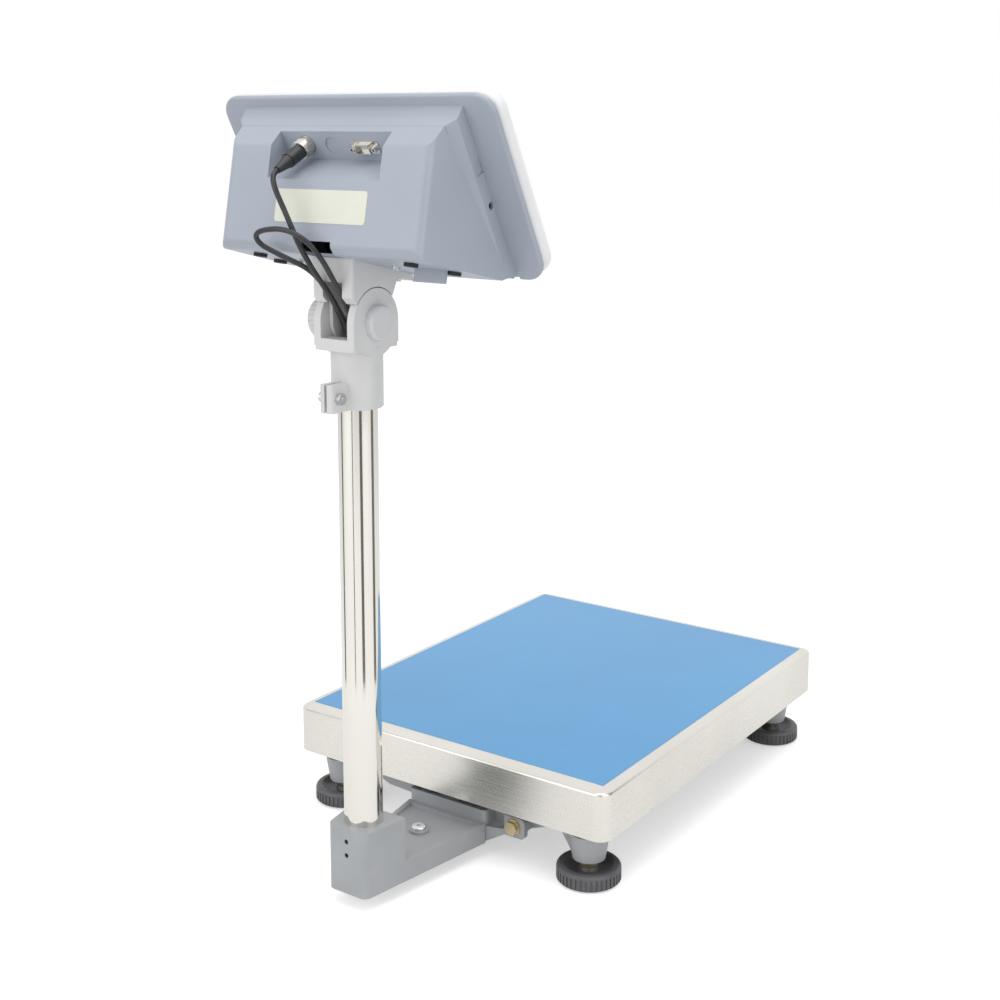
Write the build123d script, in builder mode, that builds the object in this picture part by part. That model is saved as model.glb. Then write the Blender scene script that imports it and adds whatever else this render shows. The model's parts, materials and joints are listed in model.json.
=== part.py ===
"""Platform scale: a weighing platform on four levelling feet, with a column at its back edge
that carries a tilting indicator. Millimetres, +Z up, origin on the floor under the middle of
the whole object. The user stands at the -Y side, the column is at the +Y side."""

from build123d import *
from math import atan2, cos, pi, radians, sin, tan
import os

os.makedirs("parts", exist_ok=True)


def save(piece, name):
    """Labels one finished piece and writes it as the node of that name."""
    piece.label = name
    export_step(piece, "parts/" + name + ".step")


# Weighing pan: folded stainless sheet with a deep skirt
pan_width = 400
pan_depth = 500
pan_top = 111
pan_skirt = 50
pan_sheet = 1.5
pan_corner = 14
pan_y = -89.8
pan_bottom = pan_top - pan_skirt
pan_under = pan_top - pan_sheet

# Protective film on the pan, laid a little off centre
film_width = 378
film_depth = 472
film_x = 3
film_y = pan_y - 6
film_thick = 0.3

# Levelling feet
foot_x = 161.5
foot_y = 215.5
foot_places = {
    "front_left": (-foot_x, pan_y - foot_y),
    "front_right": (foot_x, pan_y - foot_y),
    "back_left": (-foot_x, pan_y + foot_y),
    "back_right": (foot_x, pan_y + foot_y),
}
wheel_radius = 33
wheel_bottom = 1.5
wheel_hub = 15.7
wheel_dish = 12
wheel_rim = 18
wheel_flutes = 40
stud_radius = 5
stud_foot = 9
stud_top = 50
nut_flats = 17
nut_height = 8
sole_radius = 24.5
sole_height = 5
spigot_radius = 4
spigot_top = 7.5

# Cast base frame
frame_bottom = 34
frame_top = 50
boss_bottom = 24
boss_top = 52
boss_low_radius = 17
boss_high_radius = 21.5
cup_depth = 12
stud_hole = 5.05
spine_width = 62
rail_depth = 12
beam_half = 50
beam_back = pan_y + 239
beam_front = pan_y + 207
beam_screw_x = 37
beam_screw_y = pan_y + 227
stop_x = 24
stop_y = pan_y - 103
cell_bolt_x = 12
cell_bolt_y = (50, 62)
lug_x = -85
lug_z = 43
lug_face = pan_y + 232

# Column arm and its socket block
column_y = pan_y + 374
tube_radius = 19
tube_wall = 1.5
arm_bottom = 15.5
arm_top = 37
arm_wall = 5
block_top = 82
block_back = pan_y + 400.5
block_front = pan_y + 349
block_half = 23.5
tongue_front = pan_y + 192
tongue_half = 47
arm_recess = 3
arm_screw_y = pan_y + 287
arm_screw_head = 7.8
ear_plate = 6
grub_heights = (55, 69)
grub_radius = 2.5
socket_floor = 30
cable_low = 22

# Head on top of the tube
collar_radius = 24.5
collar_bottom = 493
collar_top = 551
lug_reach = 45
lug_outer = 7.5
lug_gap = 1.5
lug_top = 519.5
clamp_reach = 35
clamp_z = 506
tube_top = 545
head_floor = 560
pivot_z = 574
ear_radius = 32
ear_outer = 24
ear_inner = 16
yoke_gap = 0.35
tongue_radius = 20
slot_half = 11.5
bolt_radius = 4
knob_end = 44

# Indicator, laid out on its own leaning face
tilt = 28
face_width = 320
face_height = 189
face_corner = 21
face_y = pan_y + 338
face_z = 697.5
shell_wall = 3
rim_half = 3
bezel_depth = 18
hump_half = 118
hump_draft = 0.0885
base_half = 128
recess_half = 66
recess_panel = 31
recess_floor = 45
socket_x = 38.5
socket_u = 60
blank_x = 8.5
blank_u = 59
knock_out = 1.2
serial_x = -30
serial_u = 58
label_x = -1.5
label_s = 55
label_width = 107
label_height = 30
bezel_face = -rim_half - bezel_depth
bezel_front = 4
window_u = 32
window_width = 180
window_height = 62
key_width = 34
key_height = 18
key_places = [(x, -48) for x in (-115, -69, -23, 23, 69, 115)]
post_places = [(x, u) for x in (-138, 138) for u in (-72, 72)]
board_front = -10
battery_half = 50
battery_back = 48
battery_front = 6
battery_top = 20
battery_low = -50
flange_thick = 6
yoke_screw_places = [(-15, -45), (15, -45)]
case_screw_places = [(70, -1), (-45, -4)]
case_foot_places = [(-90, 32), (90, 32), (-105, -12), (105, -12)]
tab_place = (-85, -4)

# Plug and cable between the indicator and the column
plug_front = recess_panel + 1.5
plug_end = 78
cable_radius = 2.5

# Load cell of the single point kind, between base frame and top frame
cell_length = 150
cell_width = 40
cell_height = 38
spacer = 4
cell_bottom = frame_top + spacer
cell_top = cell_bottom + cell_height
top_frame_bottom = cell_top + spacer
top_frame_sheet = 4
top_frame_width = 330
top_frame_depth = 430
pad_top = pan_under - 3.5
pad_places = [(x, pan_y + y) for x in (-145, 145) for y in (-190, 0, 190)]

# Weighing pan: one sheet, top and four skirts, with bent edges and soft corners
with BuildPart() as pan:
    with BuildSketch(Plane.XY.offset(pan_bottom)):
        with Locations((0, pan_y)):
            RectangleRounded(pan_width, pan_depth, pan_corner)
    extrude(amount=pan_skirt)
    fillet(pan.faces().sort_by(Axis.Z)[-1].edges(), 3)
    with BuildSketch(Plane.XY.offset(pan_bottom)):
        with Locations((0, pan_y)):
            RectangleRounded(pan_width - 2 * pan_sheet, pan_depth - 2 * pan_sheet, pan_corner - pan_sheet)
    extrude(amount=pan_skirt - pan_sheet, mode=Mode.SUBTRACT)
save(pan.part, "weighing_pan")

# Protective film: thin plastic sheet, square corners, laid on the pan
with BuildPart() as film:
    with BuildSketch(Plane.XY.offset(pan_top)):
        with Locations((film_x, film_y)):
            Rectangle(film_width, film_depth)
    extrude(amount=film_thick)
save(film.part, "pan_film")

# Base frame: H casting with four tapered cup bosses, a spine for the load cell, arched rails
# and a pocketed crossbeam at the back
rail_outline = [
    (beam_half - 6, frame_top), (foot_x - 8, frame_top), (foot_x - 8, boss_bottom + 3),
    (foot_x - 17, boss_bottom + 3), (foot_x - 29, frame_top - 5), (foot_x - 45, frame_top - 5),
    (foot_x - 70, frame_bottom + 2), (beam_half - 6, frame_bottom),
]
spine_back = beam_back
spine_front = pan_y - foot_y - rail_depth / 2
with BuildPart() as base_frame:
    for rail_y in (pan_y - foot_y, pan_y + foot_y):
        for side in (-1, 1):
            with BuildSketch(Plane.XZ.offset(-rail_y)):
                with BuildLine():
                    Polyline([(side * x, z) for x, z in rail_outline], close=True)
                make_face()
            extrude(amount=rail_depth / 2, both=True)
    with BuildSketch(Plane.XY.offset(frame_bottom)):
        with Locations((0, (spine_back + spine_front) / 2)):
            Rectangle(spine_width, spine_back - spine_front)
        with Locations((0, pan_y - foot_y)):
            Rectangle(2 * beam_half, 24)
        with Locations((0, (beam_back + beam_front) / 2)):
            RectangleRounded(2 * beam_half, beam_back - beam_front, 5)
    extrude(amount=frame_top - frame_bottom)
    for x, y in foot_places.values():
        with BuildSketch(Plane.XY.offset(boss_bottom)):
            with Locations((x, y)):
                Circle(boss_low_radius)
        with BuildSketch(Plane.XY.offset(boss_top)):
            with Locations((x, y)):
                Circle(boss_high_radius)
        loft()
    # Undercut channels between the spine's ribs, three to a side of the cell pad
    with BuildSketch(Plane.XY.offset(frame_bottom)):
        with Locations((0, pan_y - 150), (0, pan_y - 60), (0, pan_y + 40), (0, pan_y + 140)):
            RectangleRounded(spine_width - 12, 62, 6)
    extrude(amount=frame_top - frame_bottom - 5, mode=Mode.SUBTRACT)
    # Cups in the bosses and threaded holes for the studs
    with BuildSketch(Plane.XY.offset(boss_top - cup_depth)):
        with Locations(*foot_places.values()):
            Circle(boss_high_radius - 5)
    extrude(amount=cup_depth, mode=Mode.SUBTRACT)
    with BuildSketch(Plane.XY.offset(boss_bottom)):
        with Locations(*foot_places.values()):
            Circle(stud_hole)
    extrude(amount=boss_top - boss_bottom, mode=Mode.SUBTRACT)
    # Two pockets in the crossbeam, with a bridge between them, and a screw hole in each
    with BuildSketch(Plane.XY.offset(frame_top - 9)):
        with Locations((-28, (beam_back + beam_front) / 2), (28, (beam_back + beam_front) / 2)):
            RectangleRounded(36, beam_back - beam_front - 7, 3)
    extrude(amount=9, mode=Mode.SUBTRACT)
    with BuildSketch(Plane.XY.offset(frame_bottom)):
        with Locations((-beam_screw_x, beam_screw_y), (beam_screw_x, beam_screw_y)):
            Circle(4.25)
    extrude(amount=frame_top - frame_bottom, mode=Mode.SUBTRACT)
    # Holes for the cell bolts, the two stop screws and the cell's cable
    with BuildSketch(Plane.XY.offset(frame_bottom)):
        with Locations(*[(x, pan_y + y) for x in (-cell_bolt_x, cell_bolt_x) for y in cell_bolt_y]):
            Circle(3.3)
        with Locations((-stop_x, stop_y), (stop_x, stop_y)):
            Circle(4)
        with Locations((0, pan_y + 184)):
            SlotCenterToCenter(14, 14, rotation=90)
    extrude(amount=frame_top - frame_bottom, mode=Mode.SUBTRACT)
    # Lug behind the right-hand ear of the column arm, tapped for its bolt
    with BuildSketch(Plane.XZ.offset(-lug_face)):
        with Locations((lug_x, lug_z)):
            RectangleRounded(22, 14, 3)
    extrude(amount=12)
    with BuildSketch(Plane.XZ.offset(-lug_face)):
        with Locations((lug_x, lug_z)):
            Circle(4)
    extrude(amount=10, mode=Mode.SUBTRACT)
save(base_frame.part, "base_frame")

# Rubber soles: the discs that stand still on the floor while the wheels turn on them
for name, (x, y) in foot_places.items():
    with BuildPart() as sole:
        with BuildSketch():
            with Locations((x, y)):
                Circle(sole_radius)
        extrude(amount=sole_height)
        fillet(sole.faces().sort_by(Axis.Z)[0].edges(), 0.8)
        with BuildSketch(Plane.XY.offset(sole_height)):
            with Locations((x, y)):
                Circle(spigot_radius)
        extrude(amount=spigot_top - sole_height)
    save(sole.part, "foot_sole_" + name)

# Foot wheels: fluted rim, dished top and a hub that bears on the lock nut
with BuildPart() as wheel:
    with BuildSketch(Plane.XZ):
        with BuildLine():
            Polyline((0, wheel_bottom), (wheel_radius - 1.5, wheel_bottom), (wheel_radius, wheel_bottom + 1.5))
            Line((wheel_radius, wheel_bottom + 1.5), (wheel_radius, wheel_rim - 4))
            RadiusArc((wheel_radius, wheel_rim - 4), (wheel_radius - 4, wheel_rim), -4)
            Line((wheel_radius - 4, wheel_rim), (wheel_radius - 7, wheel_rim))
            Spline((wheel_radius - 7, wheel_rim), (18, wheel_dish + 1), (11, wheel_dish))
            Polyline((11, wheel_dish), (9, wheel_hub), (0, wheel_hub), (0, wheel_bottom))
        make_face()
    revolve()
    with BuildSketch(Plane.XY.offset(wheel_bottom)):
        with PolarLocations(wheel_radius + 0.1, wheel_flutes):
            Rectangle(2.2, 2.1)
    extrude(amount=12.2, mode=Mode.SUBTRACT)
    with BuildSketch(Plane.XY.offset(wheel_bottom)):
        Circle(sole_radius + 0.5)
    extrude(amount=sole_height - wheel_bottom + 0.3, mode=Mode.SUBTRACT)
    with BuildSketch(Plane.XY.offset(wheel_bottom)):
        Circle(spigot_radius + 0.06)
    extrude(amount=spigot_top + 0.3 - wheel_bottom, mode=Mode.SUBTRACT)
    with BuildSketch(Plane.XY.offset(stud_foot)):
        Circle(stud_radius)
    extrude(amount=wheel_hub - stud_foot, mode=Mode.SUBTRACT)
for name, (x, y) in foot_places.items():
    save(wheel.part.moved(Location((x, y, 0))), "foot_wheel_" + name)

# Foot studs: steel, moulded into the wheels and screwed up into the bosses
for name, (x, y) in foot_places.items():
    with BuildPart() as stud:
        with BuildSketch(Plane.XY.offset(stud_foot)):
            with Locations((x, y)):
                Circle(stud_radius)
        extrude(amount=stud_top - stud_foot)
        chamfer(stud.faces().sort_by(Axis.Z)[-1].edges(), 1)
    save(stud.part, "foot_stud_" + name)

# Lock nuts, tight under the bosses
with BuildPart() as lock_nuts:
    with BuildSketch(Plane.XY.offset(boss_bottom - nut_height)):
        with Locations(*foot_places.values()):
            RegularPolygon(nut_flats / 2, 6, major_radius=False)
            Circle(stud_radius + 0.05, mode=Mode.SUBTRACT)
    extrude(amount=nut_height)
save(lock_nuts.part, "lock_nuts")

# Column arm: one casting with the socket block, the flared arm, the tongue under the frame's
# crossbeam and an ear at the right-hand side
arm_flare = (beam_half - block_half) / (block_back - beam_back)


def arm_half(y):
    """Half the width of the flared casting at a depth."""
    return block_half + arm_flare * (block_back - y)


def flared_plan(back, front, inset=0):
    """Corners of the flared plan between two depths, drawn in by an inset."""
    return [
        (arm_half(back) - inset, back), (arm_half(front) - inset, front),
        (-arm_half(front) + inset, front), (-arm_half(back) + inset, back),
    ]


with BuildPart() as column_arm:
    # Flared arm with the socket block at its back end
    with BuildSketch(Plane.XY.offset(arm_bottom)):
        with BuildLine():
            Polyline(flared_plan(block_back, beam_back), close=True)
        make_face()
    extrude(amount=arm_top - arm_bottom)
    with BuildSketch(Plane.XY.offset(arm_bottom)):
        with BuildLine():
            Polyline(flared_plan(block_back, block_front), close=True)
        make_face()
    extrude(amount=block_top - arm_bottom)
    fillet(column_arm.edges().filter_by(Axis.Z).group_by(Axis.Y)[-1], 8)
    # Shallow recess along the arm that leaves a rail at each side
    with BuildSketch(Plane.XY.offset(arm_top - arm_recess)):
        with BuildLine():
            Polyline(flared_plan(block_front - 6, beam_back + 6, arm_wall), close=True)
        make_face()
        with Locations((0, arm_screw_y)):
            Circle(arm_screw_head + 2.2, mode=Mode.SUBTRACT)
    extrude(amount=arm_recess, mode=Mode.SUBTRACT)
    # Tongue under the crossbeam
    with BuildSketch(Plane.XY.offset(arm_bottom)):
        with Locations((0, (tongue_front + beam_back) / 2)):
            Rectangle(2 * tongue_half, beam_back - tongue_front)
    extrude(amount=frame_bottom - arm_bottom)
    # Hollow underside, with bosses for the screws
    with BuildSketch(Plane.XY.offset(arm_bottom)):
        with BuildLine():
            Polyline(flared_plan(block_back - arm_wall, beam_back, arm_wall + 0.6), close=True)
        make_face()
        with Locations((0, (tongue_front + beam_back) / 2)):
            Rectangle(2 * tongue_half - 2 * arm_wall, beam_back - tongue_front - 2 * arm_wall)
        with Locations((0, beam_back - arm_wall)):
            Rectangle(2 * tongue_half - 2 * arm_wall, 2 * arm_wall)
        with Locations((-beam_screw_x, beam_screw_y), (beam_screw_x, beam_screw_y), (0, arm_screw_y)):
            Circle(8, mode=Mode.SUBTRACT)
    extrude(amount=frame_bottom - arm_wall - arm_bottom, mode=Mode.SUBTRACT)
    # Way for the cable through the tongue's front wall
    with BuildSketch(Plane.XZ.offset(-tongue_front)):
        with Locations((0, cable_low)):
            RectangleRounded(12, 11, 3)
    extrude(amount=-2 * arm_wall, mode=Mode.SUBTRACT)
    # Socket for the tube, with a hole in its floor for the cable
    with BuildSketch(Plane.XY.offset(socket_floor)):
        with Locations((0, column_y)):
            Circle(tube_radius + 0.02)
    extrude(amount=block_top - socket_floor, mode=Mode.SUBTRACT)
    with BuildSketch(Plane.XY.offset(arm_bottom)):
        with Locations((0, column_y - 3)):
            Circle(8.5)
    extrude(amount=socket_floor - arm_bottom, mode=Mode.SUBTRACT)
    # Tapped holes: two for the beam screws, one in the arm, two at the back for the grub screws
    with BuildSketch(Plane.XY.offset(arm_bottom)):
        with Locations((-beam_screw_x, beam_screw_y), (beam_screw_x, beam_screw_y), (0, arm_screw_y)):
            Circle(4)
    extrude(amount=arm_top - arm_bottom, mode=Mode.SUBTRACT)
    with BuildSketch(Plane.XZ.offset(-block_back)):
        with Locations(*[(0, z) for z in grub_heights]):
            Circle(grub_radius)
    extrude(amount=block_back - column_y, mode=Mode.SUBTRACT)
    # Ear at the right-hand side, in front of the arm
    with BuildSketch(Plane.XZ.offset(-lug_face - ear_plate)) as ear_outline:
        with BuildLine():
            Polyline(
                (-tongue_half + 2, arm_bottom), (-tongue_half, arm_bottom), (lug_x + 12, 31), (lug_x - 13, 31),
                (lug_x - 13, 53), (lug_x + 12, 53), (lug_x + 12, 37), (-beam_half - 4, frame_bottom),
                (-tongue_half + 2, frame_bottom), close=True,
            )
        make_face()
        fillet(ear_outline.vertices().group_by(Axis.X)[0], 5)
    extrude(amount=ear_plate)
    with BuildSketch(Plane.XZ.offset(-lug_face - ear_plate)):
        with Locations((lug_x, lug_z)):
            Circle(4.25)
    extrude(amount=ear_plate, mode=Mode.SUBTRACT)
save(column_arm.part, "column_arm")

# Column tube: thin polished stainless tube that stands in the socket
with BuildPart() as column_tube:
    with BuildSketch(Plane.XY.offset(socket_floor)):
        with Locations((0, column_y)):
            Circle(tube_radius)
            Circle(tube_radius - tube_wall, mode=Mode.SUBTRACT)
    extrude(amount=tube_top - socket_floor)
save(column_tube.part, "column_tube")

# Grub screws that hold the tube in its socket, with hexagon sockets
with BuildPart() as grub_screws:
    with BuildSketch(Plane.XZ.offset(-column_y - tube_radius)):
        with Locations(*[(0, z) for z in grub_heights]):
            Circle(grub_radius)
    extrude(amount=-6)
    with BuildSketch(Plane.XZ.offset(-column_y - tube_radius - 6)):
        with Locations(*[(0, z) for z in grub_heights]):
            RegularPolygon(1.25, 6, major_radius=False)
    extrude(amount=2.5, mode=Mode.SUBTRACT)
save(grub_screws.part, "grub_screws")

# Cap screw in the arm
with BuildPart() as arm_screw:
    with BuildSketch(Plane.XY.offset(arm_top)):
        with Locations((0, arm_screw_y)):
            Circle(arm_screw_head)
    extrude(amount=3.2)
    fillet(arm_screw.faces().sort_by(Axis.Z)[-1].edges(), 1.4)
    with BuildSketch(Plane.XY.offset(arm_top + 3.2)):
        with Locations((0, arm_screw_y)):
            RegularPolygon(2.5, 6, major_radius=False)
    extrude(amount=-2.2, mode=Mode.SUBTRACT)
    with BuildSketch(Plane.XY.offset(arm_top)):
        with Locations((0, arm_screw_y)):
            Circle(4)
    extrude(amount=-18)
save(arm_screw.part, "arm_screw")

# Pan head screws that clamp the crossbeam on the tongue
with BuildPart() as crossbeam_screws:
    with BuildSketch(Plane.XY.offset(frame_top - 9)):
        with Locations((-beam_screw_x, beam_screw_y), (beam_screw_x, beam_screw_y)):
            Circle(7)
    extrude(amount=6)
    fillet(crossbeam_screws.faces().sort_by(Axis.Z)[-2:].edges(), 2)
    with BuildSketch(Plane.XY.offset(frame_top - 3)):
        with Locations((-beam_screw_x, beam_screw_y), (beam_screw_x, beam_screw_y)):
            RegularPolygon(3, 6, major_radius=False)
    extrude(amount=-3.5, mode=Mode.SUBTRACT)
    with BuildSketch(Plane.XY.offset(frame_top - 9)):
        with Locations((-beam_screw_x, beam_screw_y), (beam_screw_x, beam_screw_y)):
            Circle(4)
    extrude(amount=-22)
save(crossbeam_screws.part, "crossbeam_screws")

# Bolt and washer through the ear
ear_back = lug_face + ear_plate
with BuildPart() as ear_washer:
    with BuildSketch(Plane.XZ.offset(-ear_back)):
        with Locations((lug_x, lug_z)):
            Circle(8)
            Circle(4.25, mode=Mode.SUBTRACT)
    extrude(amount=-1.6)
save(ear_washer.part, "ear_washer")
with BuildPart() as ear_bolt:
    with BuildSketch(Plane.XZ.offset(-ear_back - 1.6)):
        with Locations((lug_x, lug_z)):
            RegularPolygon(6.5, 6, major_radius=False)
    extrude(amount=-5.3)
    with BuildSketch(Plane.XZ.offset(-ear_back - 1.6)):
        with Locations((lug_x, lug_z)):
            Circle(4)
    extrude(amount=1.6 + ear_plate + 9)
save(ear_bolt.part, "ear_bolt")

# Load cell: aluminium block with the dumbbell opening that lets it bend
with BuildPart() as load_cell:
    with BuildSketch(Plane.XY.offset(cell_bottom)):
        with Locations((0, pan_y)):
            Rectangle(cell_width, cell_length)
    extrude(amount=cell_height)
    with BuildSketch(Plane.YZ):
        with Locations((pan_y - 22, cell_bottom + cell_height / 2), (pan_y + 22, cell_bottom + cell_height / 2)):
            Circle(14)
        with Locations((pan_y, cell_bottom + cell_height / 2)):
            Rectangle(44, 12)
    extrude(amount=cell_width, both=True, mode=Mode.SUBTRACT)
    for end, floor, depth in ((1, cell_bottom, 15), (-1, cell_top, -15)):
        with BuildSketch(Plane.XY.offset(floor)):
            with Locations(*[(x, pan_y + end * y) for x in (-cell_bolt_x, cell_bolt_x) for y in cell_bolt_y]):
                Circle(3)
        extrude(amount=depth, mode=Mode.SUBTRACT)
save(load_cell.part, "load_cell")

# Spacer plates that keep the cell's free length clear of both frames
with BuildPart() as cell_spacers:
    for end, floor in ((1, frame_top), (-1, cell_top)):
        with BuildSketch(Plane.XY.offset(floor)):
            with Locations((0, pan_y + end * 56)):
                Rectangle(cell_width, 34)
            with Locations(*[(x, pan_y + end * y) for x in (-cell_bolt_x, cell_bolt_x) for y in cell_bolt_y]):
                Circle(3.3, mode=Mode.SUBTRACT)
        extrude(amount=spacer)
save(cell_spacers.part, "cell_spacers")

# Cell bolts: four up through the base frame, four down through the top frame
with BuildPart() as cell_bolts:
    for end, seat, up in ((1, frame_top - 5, 1), (-1, top_frame_bottom + top_frame_sheet, -1)):
        places = [(x, pan_y + end * y) for x in (-cell_bolt_x, cell_bolt_x) for y in cell_bolt_y]
        with BuildSketch(Plane.XY.offset(seat)):
            with Locations(*places):
                Circle(5)
        extrude(amount=-5 * up)
        with BuildSketch(Plane.XY.offset(seat)):
            with Locations(*places):
                Circle(3)
        extrude(amount=20 * up)
        with BuildSketch(Plane.XY.offset(seat - 5 * up)):
            with Locations(*places):
                RegularPolygon(2.5, 6, major_radius=False)
        extrude(amount=2.5 * up, mode=Mode.SUBTRACT)
save(cell_bolts.part, "cell_bolts")

# Top frame: folded steel plate with a lip all round, lightening holes and six raised pads
with BuildPart() as top_frame:
    with BuildSketch(Plane.XY.offset(top_frame_bottom - 12)):
        with Locations((0, pan_y)):
            RectangleRounded(top_frame_width, top_frame_depth, 10)
    extrude(amount=12 + top_frame_sheet)
    with BuildSketch(Plane.XY.offset(top_frame_bottom - 12)):
        with Locations((0, pan_y)):
            RectangleRounded(top_frame_width - 5, top_frame_depth - 5, 7.5)
    extrude(amount=12, mode=Mode.SUBTRACT)
    with BuildSketch(Plane.XY.offset(top_frame_bottom)):
        with Locations(*[(x, pan_y + y) for x in (-95, 95) for y in (-135, -45, 45, 135)]):
            Circle(32)
        with Locations(*[(x, pan_y - y) for x in (-cell_bolt_x, cell_bolt_x) for y in cell_bolt_y]):
            Circle(3.3)
    extrude(amount=top_frame_sheet, mode=Mode.SUBTRACT)
    with BuildSketch(Plane.XY.offset(top_frame_bottom + top_frame_sheet)):
        with Locations(*pad_places):
            Circle(12)
    extrude(amount=pad_top - top_frame_bottom - top_frame_sheet)
save(top_frame.part, "top_frame")

# Rubber buffers on the pads, under the pan
with BuildPart() as pan_buffers:
    with BuildSketch(Plane.XY.offset(pad_top)):
        with Locations(*pad_places):
            Circle(10)
    extrude(amount=pan_under - pad_top)
save(pan_buffers.part, "pan_buffers")

# Overload stops: set screws with lock nuts on the spine, just short of the top frame
with BuildPart() as overload_stops:
    with BuildSketch(Plane.XY.offset(frame_bottom + 2)):
        with Locations((-stop_x, stop_y), (stop_x, stop_y)):
            Circle(4)
    extrude(amount=top_frame_bottom - 0.6 - frame_bottom - 2)
    with BuildSketch(Plane.XY.offset(frame_top)):
        with Locations((-stop_x, stop_y), (stop_x, stop_y)):
            RegularPolygon(6.5, 6, major_radius=False)
    extrude(amount=6.5)
save(overload_stops.part, "overload_stops")

# Head clevis: split collar on the tube, a square block on it and two ears for the tilt bolt
with BuildPart() as head_clevis:
    with BuildSketch(Plane.XY.offset(collar_bottom)):
        with Locations((0, column_y)):
            Circle(collar_radius)
    extrude(amount=collar_top - collar_bottom)
    chamfer(head_clevis.faces().sort_by(Axis.Z)[0].edges(), 1)
    with BuildSketch(Plane.XY.offset(collar_bottom)):
        with Locations((0, column_y + (tube_radius + lug_reach) / 2)):
            RectangleRounded(2 * lug_outer, lug_reach - tube_radius, 3)
    extrude(amount=lug_top - collar_bottom)
    with BuildSketch(Plane.XY.offset(collar_top - 2)):
        with Locations((0, column_y)):
            RectangleRounded(2 * ear_outer, 2 * ear_radius, 3)
    extrude(amount=head_floor - collar_top + 2)
    for side in (-1, 1):
        with BuildSketch(Plane.YZ.offset(side * ear_inner)):
            with Locations((column_y, pivot_z)):
                Circle(ear_radius)
            with Locations((column_y, (collar_top + 2 + pivot_z) / 2)):
                Rectangle(2 * ear_radius, pivot_z - collar_top - 2)
        extrude(amount=side * (ear_outer - ear_inner))
    # Bore, cable hole, slit in the collar and the round hollow that clears the yoke's plates
    with BuildSketch(Plane.XY.offset(collar_bottom)):
        with Locations((0, column_y)):
            Circle(tube_radius + 0.05)
    extrude(amount=tube_top + 0.3 - collar_bottom, mode=Mode.SUBTRACT)
    with BuildSketch(Plane.XY.offset(tube_top)):
        with Locations((0, column_y)):
            Circle(13)
    extrude(amount=head_floor - tube_top, mode=Mode.SUBTRACT)
    with BuildSketch(Plane.XY.offset(collar_bottom)):
        with Locations((0, column_y + lug_reach / 2 + 6)):
            Rectangle(2 * lug_gap, lug_reach)
    extrude(amount=lug_top - collar_bottom, mode=Mode.SUBTRACT)
    with BuildSketch(Plane.YZ):
        with Locations((column_y, pivot_z)):
            Circle(tongue_radius + 1)
    extrude(amount=ear_inner, both=True, mode=Mode.SUBTRACT)
    # Holes for the tilt bolt and the clamp bolt
    with BuildSketch(Plane.YZ):
        with Locations((column_y, pivot_z)):
            Circle(bolt_radius + 0.05)
        with Locations((column_y + clamp_reach, clamp_z)):
            Circle(3.2)
    extrude(amount=ear_outer, both=True, mode=Mode.SUBTRACT)
save(head_clevis.part, "head_clevis")

# Clamp bolt and its nut across the lugs
with BuildPart() as clamp_bolt:
    with BuildSketch(Plane.YZ.offset(lug_outer)):
        with Locations((column_y + clamp_reach, clamp_z)):
            Circle(5)
    extrude(amount=6)
    with BuildSketch(Plane.YZ.offset(lug_outer + 6)):
        with Locations((column_y + clamp_reach, clamp_z)):
            RegularPolygon(2.5, 6, major_radius=False)
    extrude(amount=-3, mode=Mode.SUBTRACT)
    with BuildSketch(Plane.YZ.offset(lug_outer)):
        with Locations((column_y + clamp_reach, clamp_z)):
            Circle(3)
    extrude(amount=-2 * lug_outer - 7)
save(clamp_bolt.part, "clamp_bolt")
with BuildPart() as clamp_nut:
    with BuildSketch(Plane.YZ.offset(-lug_outer)):
        with Locations((column_y + clamp_reach, clamp_z)):
            RegularPolygon(5, 6, major_radius=False)
            Circle(3, mode=Mode.SUBTRACT)
    extrude(amount=-5)
save(clamp_nut.part, "clamp_nut")

# Indicator frame: u runs up the leaning face, w runs straight back from it
lean_cos = cos(radians(tilt))
lean_sin = sin(radians(tilt))
rear_axis = (0, lean_cos, -lean_sin)


def lean_point(x, w, u):
    """World place of a point of the indicator."""
    return (x, face_y + w * lean_cos + u * lean_sin, face_z - w * lean_sin + u * lean_cos)


def face_plane(w):
    """Plane parallel to the face, looking at the user: sketch axes are X and u."""
    return Plane(origin=lean_point(0, w, 0), x_dir=(1, 0, 0), z_dir=(0, -lean_cos, lean_sin))


# The hump's underside, which lies on the yoke
under_front = lean_point(0, 24, -81.5)
under_back = lean_point(0, 104, -11)
under_slope = atan2(under_back[2] - under_front[2], under_back[1] - under_front[1])


def under_z(y):
    """Height of the hump's underside at a depth from the column's axis."""
    return under_front[2] + (column_y + y - under_front[1]) * tan(under_slope)


under_plane = Plane(
    origin=(0, column_y, under_z(0)), x_dir=(1, 0, 0), z_dir=(0, -sin(under_slope), cos(under_slope)),
)

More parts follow.
